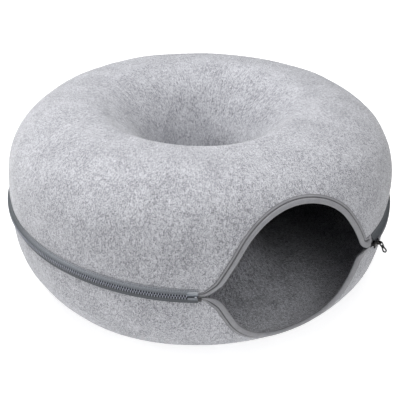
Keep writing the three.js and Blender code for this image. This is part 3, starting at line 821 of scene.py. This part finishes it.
def felt_finish():
    """Grey melange needle felt: a fine grain of pale and dark fibres, streaks along the section and a nap.

    Near the hole, where the ring is short, the pattern is widened to make up for that, and drawn out along
    the section.
    The inner face is rougher in tone, and carries painted light near the mouth and painted shade deeper
    inside.
    """
    felt = Finish("melange_felt", roughness=0.95, specular_ior_level=0.15, sheen_weight=0.2)
    place = felt.node("TexCoord").outputs["Object"]
    lay = felt.attribute("felt_lay")
    level = felt.stretched(place, (1, 1, 0))
    reach = felt.node("VectorMath", {0: level}, operation="LENGTH").outputs["Value"]
    outer_streaks = felt.noise(felt.stretched(lay, (1, 1, 0.4)), 560, 2, 0.6)
    hole_streaks = felt.noise(felt.stretched(lay, (0.4, 0.4, 0.12)), 560, 2, 0.6)
    near_hole = felt.spread(reach, 0.12, 0.21, 0.62, 0.0)
    streaks = felt.node("Mix", {0: near_hole, 2: outer_streaks, 3: hole_streaks}).outputs[0]
    even_grain = felt.noise(place, 1200, 2, 0.7)
    drawn_grain = felt.noise(felt.stretched(lay, (0.55, 0.55, 0.2)), 1200, 2, 0.7)
    grain = felt.node("Mix", {0: near_hole, 2: even_grain, 3: drawn_grain}).outputs[0]
    mottle = felt.noise(place, 240, 2, 0.6)
    clouds = felt.noise(place, 32, 1)
    flecks = felt.noise(felt.stretched(lay, (1, 1, 0.6)), 760, 1, 0.5)
    parts = ((grain, 0.68), (streaks, 0.20), (mottle, 0.14), (clouds, 0.07))
    varied = 0.0
    for pattern, strength in parts:
        varied = felt.math("ADD", felt.spread(pattern, 0.3, 0.7, -strength, strength), varied)
    lay_height = felt.node("SeparateXYZ", {0: lay}).outputs["Z"]
    inside = felt.math("GREATER_THAN", felt.math("ABSOLUTE", lay_height, 0.0), INSIDE_LAY / 2)
    rough = felt.math("MULTIPLY", varied, felt.spread(inside, 0.0, 1.0, 1.0, 2.0))
    tone = felt.math("ADD", rough, 0.5)
    shade = felt.ramp(
        tone,
        [(0.05, (0.14, 0.14, 0.155)), (0.5, (0.411, 0.416, 0.448)), (0.95, (0.61, 0.615, 0.645))],
    )
    dark = felt.spread(flecks, 0.59, 0.68, 0.0, 0.75)
    flecked = felt.mixed(dark, shade, (0.13, 0.13, 0.14))
    # Painted light and shade inside: brighter near the mouth, darker further in
    doorstep = tuple(ring_points(MOUTH_ANGLE, PAINTED_INSIDE_LIGHT["radius"], PAINTED_INSIDE_LIGHT["height"]))
    from_mouth = felt.node("VectorMath", {0: place, 1: doorstep}, operation="DISTANCE").outputs["Value"]
    painted_inside_light = felt.spread(from_mouth, *PAINTED_INSIDE_LIGHT["reach"], *PAINTED_INSIDE_LIGHT["shares"])
    share = felt.node("Mix", {0: inside, 2: 1.0, 3: painted_inside_light}).outputs[0]
    coloured = felt.node("VectorMath", {0: flecked, "Scale": share}, operation="SCALE")
    felt.set("Base Color", coloured.outputs["Vector"])
    nap = felt.math("ADD", felt.math("MULTIPLY", grain, 0.6), streaks)
    felt.set("Normal", felt.bump(nap, 0.4, 0.0006))
    return felt.material


def binding_finish():
    """Woven binding tape: fine threads and ribs, slightly worn; painted shade in the groove and at the hem.
    """
    tape = Finish("ribbed_binding", roughness=0.7, sheen_weight=0.2, specular_ior_level=0.35)
    lay = tape.attribute("tape_lay")
    threads = tape.noise(tape.stretched(lay, (1, 0.25, 1)), 2200, 2)
    worn = tape.noise(lay, 90, 2)
    slant = (1, RIBS["slant"], 0)
    slanted = tape.node("VectorMath", {0: lay, 1: slant}, operation="DOT_PRODUCT").outputs["Value"]
    ribs = tape.math("SINE", tape.math("MULTIPLY", slanted, TAU / RIBS["pitch"]), 0.0)
    tone = tape.math("ADD", tape.math("MULTIPLY", threads, 0.6), tape.math("MULTIPLY", worn, 0.4))
    tone = tape.math("ADD", tone, tape.math("MULTIPLY", ribs, 0.12))
    weave = tape.ramp(tone, [(0.3, (0.195, 0.196, 0.212)), (0.7, (0.32, 0.32, 0.337))])
    # Painted shade in the sewn groove, which also stands for the dark thread there, and a painted shadow at
    # the hem
    sewn = tape.math("MULTIPLY", tape.attribute("painted_groove_and_hem_shade", "Fac"), 0.95)
    tape.set("Base Color", tape.mixed(sewn, weave, (0.035, 0.035, 0.04)))
    tape.set("Normal", tape.bump(threads, 0.35, 0.0003))
    return tape.material


def zip_tape_finish():
    """Woven zip tape: slanting rows of blue grey threads, with painted shade on the lower tape and painted
    black shade behind the teeth.

    In front the upper tape carries a painted sheen that pales it towards its sewn edge. The felt's fuzz lies
    over that edge, shown only where the painted sheen falls.
    """
    tape = Finish("zip_tape_weave", roughness=0.8, specular_ior_level=0.12)
    lay = tape.attribute("tape_lay")
    places = tape.node("SeparateXYZ", {0: lay}).outputs
    length, across, side = places["X"], places["Y"], places["Z"]
    rows = tape.node(
        "TexWave", {"Vector": lay, "Scale": 260, "Distortion": 1.5, "Detail": 1}, bands_direction="DIAGONAL"
    ).outputs["Fac"]
    threads = tape.noise(tape.stretched(lay, (0.3, 1, 1)), 1800, 2)
    tone = tape.math("ADD", tape.math("MULTIPLY", rows, 0.4), tape.math("MULTIPLY", threads, 0.6))
    weave = tape.ramp(tone, [(0.2, (0.068, 0.075, 0.080)), (0.8, (0.105, 0.113, 0.120))])
    # Painted sheen: this pale colour, strongest in front and on the upper tape, growing towards its sewn edge
    pale = tape.ramp(tone, [(0.2, (0.150, 0.163, 0.182)), (0.8, (0.225, 0.242, 0.265))])
    sheen_in_front = tape.spread(length, 1.56, 1.68, 0.15, 1.0)
    painted_sheen = tape.math("MULTIPLY", tape.spread(side, -1, 1, 0.2, 1.0), sheen_in_front)
    sheen_share = tape.math("MULTIPLY", tape.spread(across, 0.0012, 0.0055, 0.0, 1.0), painted_sheen)
    sheened = tape.mixed(sheen_share, weave, pale)
    # Felt fuzz over the sewn edge, shown only where the painted sheen falls
    fuzz = tape.noise(tape.stretched(lay, (1, 0.5, 1)), 700, 2, 0.7)
    edge = tape.math("ADD", across, tape.spread(fuzz, 0.3, 0.7, -0.0018, 0.0018))
    felted = tape.math("MULTIPLY", tape.spread(edge, 0.0052, 0.0085, 0.0, 0.9), painted_sheen)
    fuzzy = tape.mixed(felted, sheened, (0.36, 0.37, 0.40))
    # Painted shade on the lower tape
    painted_shade_below = tape.mixed(tape.spread(side, -1, 1, 0.45, 0.0), fuzzy, (0.02, 0.022, 0.026))
    # Painted black shade behind the teeth
    painted_shade_behind_teeth = tape.spread(across, 0.0020, 0.0026, 1.0, 0.0)
    tape.set("Base Color", tape.mixed(painted_shade_behind_teeth, painted_shade_below, (0.006, 0.006, 0.008)))
    tape.set("Normal", tape.bump(tone, 0.3, 0.0003))
    return tape.material


def thread_finish(name, dark, light):
    """Sewing thread: a fine twist in tone along the thread."""
    thread = Finish(name, roughness=0.6, sheen_weight=0.2)
    place = thread.node("TexCoord").outputs["Object"]
    twist = thread.noise(place, 2600, 1)
    thread.set("Base Color", thread.ramp(twist, [(0.35, dark), (0.65, light)]))
    return thread.material


def teeth_finish():
    """Moulded grey plastic teeth: soft gloss, small differences in tone, and painted shade on the right."""
    teeth = Finish("zip_teeth_plastic", roughness=0.35, specular_ior_level=0.5)
    place = teeth.node("TexCoord").outputs["Object"]
    tone = teeth.noise(place, 500, 2)
    pale = teeth.ramp(tone, [(0.3, (0.19, 0.202, 0.245)), (0.7, (0.27, 0.285, 0.335))])
    # Painted shade: the teeth darken towards the right, past x = 0.10
    from_left = teeth.node("SeparateXYZ", {0: place}).outputs["X"]
    right_painted_shade = teeth.spread(from_left, 0.10, 0.24, 0.0, 0.8)
    teeth.set("Base Color", teeth.mixed(right_painted_shade, pale, (0.05, 0.054, 0.062)))
    return teeth.material


def end_box_finish():
    """Smooth grey plastic, nearly black at its last part."""
    box = Finish("zip_end_plastic", roughness=0.3)
    place = box.node("TexCoord").outputs["Object"]
    pale = box.ramp(box.noise(place, 420, 2), [(0.3, (0.115, 0.13, 0.15)), (0.7, (0.165, 0.18, 0.205))])
    box.set("Base Color", box.mixed(box.attribute("dark_end", "Fac"), pale, (0.012, 0.012, 0.014)))
    return box.material


def stop_finish():
    """Pale glossy plastic, faintly uneven in tone."""
    stop = Finish("zip_stop_plastic", roughness=0.25)
    place = stop.node("TexCoord").outputs["Object"]
    tone = stop.noise(place, 700, 2)
    stop.set("Base Color", stop.ramp(tone, [(0.3, (0.46, 0.48, 0.54)), (0.7, (0.58, 0.60, 0.66))]))
    return stop.material


def film_finish():
    """Pale clear film over the tape: glossy, with faint streaks."""
    film = Finish("zip_end_film", roughness=0.18, specular_ior_level=0.6, coat_weight=0.4)
    place = film.node("TexCoord").outputs["Object"]
    streaks = film.noise(film.stretched(place, (1, 1, 6)), 300, 2)
    film.set("Base Color", film.ramp(streaks, [(0.3, (0.125, 0.145, 0.172)), (0.7, (0.20, 0.225, 0.256))]))
    return film.material


def slider_finish():
    """Black plated metal with worn edges in tone and gloss."""
    metal = Finish("black_zip_metal", metallic=0.25, specular_ior_level=0.3)
    place = metal.node("TexCoord").outputs["Object"]
    worn = metal.noise(place, 380, 3)
    metal.set("Base Color", metal.ramp(worn, [(0.45, (0.006, 0.006, 0.007)), (0.8, (0.05, 0.045, 0.04))]))
    metal.set("Roughness", metal.spread(worn, 0.3, 0.7, 0.34, 0.5))
    return metal.material


def floor_finish():
    """Plain white floor."""
    floor = Finish("plain_floor", roughness=0.9, specular_ior_level=0.1, emission_strength=0.72)
    floor.shader.inputs["Base Color"].default_value = (0.6, 0.6, 0.6, 1)
    floor.shader.inputs["Emission Color"].default_value = (1, 1, 1, 1)
    return floor.material


def stage_floor():
    """One large square, a hair below the tunnel's foot."""
    half, z = FLOOR["half"], -FLOOR["below"]
    mesh = bpy.data.meshes.new("floor")
    corners = [(-half, -half, z), (half, -half, z), (half, half, z), (-half, half, z)]
    mesh.from_pydata(corners, [], [(0, 1, 2, 3)])
    mesh.materials.append(floor_finish())
    floor = bpy.data.objects.new("floor", mesh)
    bpy.context.scene.collection.objects.link(floor)


def area_light(name, azimuth, elevation, size, energy):
    """A round soft lamp on a sphere about the tunnel: azimuth turns from -Y towards +X, in degrees."""
    turn, rise = math.radians(azimuth), math.radians(elevation)
    level = math.cos(rise)
    out = Vector((math.sin(turn) * level, -math.cos(turn) * level, math.sin(rise)))
    data = bpy.data.lights.new(name, "AREA")
    data.shape = "DISK"
    data.size = size
    data.energy = energy
    lamp = bpy.data.objects.new(name, data)
    lamp.location = Vector(STUDIO["centre"]) + out * STUDIO["distance"]
    lamp.rotation_euler = (-out).to_track_quat("-Z", "Y").to_euler()
    bpy.context.scene.collection.objects.link(lamp)


def studio():
    """High soft key from the back left, with light from the left, above and the front."""
    world = bpy.data.worlds.new("studio")
    world.use_nodes = True
    background = world.node_tree.nodes["Background"]
    background.inputs["Color"].default_value = (1, 1, 1, 1)
    background.inputs["Strength"].default_value = STUDIO["ambient"]
    bpy.context.scene.world = world
    bpy.context.scene.view_settings.view_transform = "Standard"
    for name, azimuth, elevation, size, energy in STUDIO["lamps"]:
        area_light(name, azimuth, elevation, size, energy)


def camera():
    """Looks at the target from the front at the fitted elevation, with a slight roll."""
    c = CAMERA
    level, rise = math.cos(c["elevation"]), math.sin(c["elevation"])
    right, up, back = Vector((1, 0, 0)), Vector((0, rise, level)), Vector((0, -level, rise))
    cos, sin = math.cos(c["roll"]), math.sin(c["roll"])
    turned = (right * cos + up * sin, up * cos - right * sin, back)
    data = bpy.data.cameras.new("camera")
    data.sensor_width = c["sensor"]
    data.lens = c["lens"]
    data.shift_x, data.shift_y = c["shift"]
    made = bpy.data.objects.new("camera", data)
    place = Matrix.Translation(Vector(c["target"]) + back * c["distance"])
    made.matrix_world = place @ Matrix(turned).transposed().to_4x4()
    bpy.context.scene.collection.objects.link(made)
    bpy.context.scene.camera = made


stage_floor()
studio()
camera()

melange_felt = felt_finish()
ribbed_binding = binding_finish()
binding_thread = thread_finish("binding_thread", (0.03, 0.03, 0.034), (0.06, 0.06, 0.066))
zip_thread = thread_finish("zip_thread", (0.055, 0.065, 0.08), (0.10, 0.115, 0.135))
zip_weave = zip_tape_finish()
zip_plastic = teeth_finish()
black_metal = slider_finish()
film_clear = film_finish()

upper_felt = felt_half("upper_felt_ring", UPPER, melange_felt, "felt_upper")
lower_felt = felt_half("lower_felt_ring", LOWER, melange_felt, "felt_lower")

for word, half, felt in (("upper", UPPER, upper_felt), ("lower", LOWER, lower_felt)):
    binding, cut = mouth_binding(f"{word}_mouth_binding", half, ribbed_binding, f"binding_{word}")
    sewing = binding_stitches(f"{word}_binding_stitches", half, binding_thread)
    tape = zip_tape(f"{word}_zip_tape", half, zip_weave, f"zip_tape_{word}")
    seam = tape_stitches(f"{word}_zip_stitches", half, zip_thread)
    on_tape = [seam] if half is LOWER else [seam, zip_film("zip_film", half, film_clear)]

zip_teeth("zip_teeth", zip_plastic, "zip_coil")
zip_end_box("zip_end", end_box_finish(), "zip_end_box")
zip_end_stop("zip_end_stop", stop_finish())
for node in ("zip_slider", "zip_pull"):
    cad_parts[node].data.materials.clear()
    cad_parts[node].data.materials.append(black_metal)
